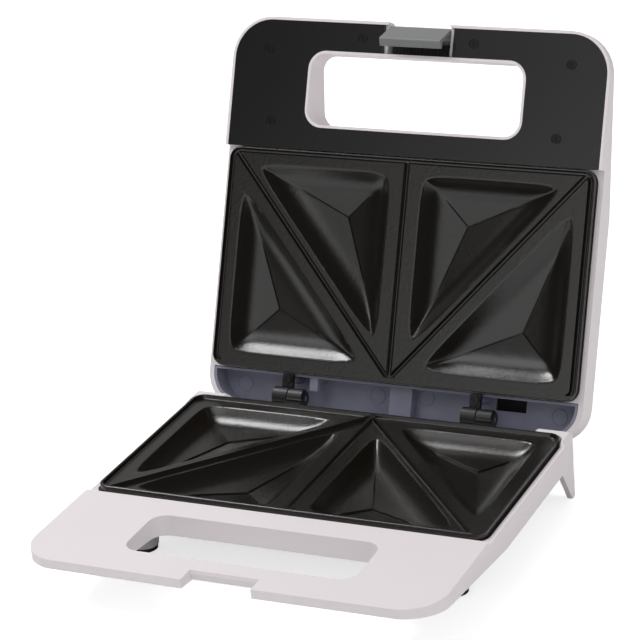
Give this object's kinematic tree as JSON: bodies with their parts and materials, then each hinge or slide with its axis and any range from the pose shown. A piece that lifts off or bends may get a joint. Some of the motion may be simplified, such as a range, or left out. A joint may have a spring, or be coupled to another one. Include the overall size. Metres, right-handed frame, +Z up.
{
  "type": "sandwich toaster",
  "caption": "Hinged clamshell sandwich toaster with pocketed non-stick plates, a swing latch and a finger hole through each handle, shown open.",
  "frame": {"origin": "centre of the bounding box in plan, on the surface that the toaster stands on", "axes": "+Z up, +Y from the base's handle towards the hinges, +X to the right of someone facing the handle; the lid is open"},
  "size_m": [0.23, 0.3172, 0.2358],
  "materials": {
    "white_moulding": "satin",
    "grey_moulding": "matt",
    "black_panel": "satin",
    "nonstick": "satin non-stick coating on cast aluminium",
    "bay_grey": "matt",
    "latch_grey": "satin",
    "black_moulding": "matt",
    "black_rubber": "matt",
    "steel": "zinc plated",
    "dark_steel": "blackened",
    "bright_sheet": "bright sheet",
    "heater_sheath": "oxidised",
    "phenolic": "matt",
    "ceramic": "matt",
    "red_lens": "clear",
    "green_lens": "clear"
  },
  "bodies": {
    "base": {"base_casing": "white_moulding", "base_bottom": "grey_moulding", "base_screws": "steel", "rubber_feet": "black_rubber", "lower_plate": "nonstick", "lower_element": "heater_sheath", "lower_reflector": "bright_sheet", "lower_plate_screws": "steel", "thermostat": "phenolic", "terminal_block": "ceramic", "cord_inlet": "black_moulding", "hinge_brackets": "black_moulding", "bracket_screws": "steel", "hinge_pins": "steel"},
    "lid": {"lid_casing": "white_moulding", "lid_panel": "black_panel", "panel_screws_set": "dark_steel", "hinge_bay_liner": "bay_grey", "lid_hinge_leaves": "black_moulding", "leaf_screws": "dark_steel", "upper_plate": "nonstick", "upper_element": "heater_sheath", "upper_reflector": "bright_sheet", "upper_plate_screws": "steel", "thermal_fuse": "ceramic", "power_lamp_lens": "red_lens", "ready_lamp_lens": "green_lens", "latch_pin": "steel"},
    "latch": {"latch": "latch_grey"}
  },
  "joints": [
    {"name": "lid_hinge", "type": "hinge", "parent": "base", "child": "lid", "pos_m": [0, 0.06112, 0.0365], "axis": [1, 0, 0], "range_deg": [0, 113]},
    {"name": "latch_hinge", "type": "hinge", "parent": "lid", "child": "latch", "pos_m": [0, 0.15265, 0.22654], "axis": [-1, 0, 0], "range_deg": [0, 25]}
  ]
}
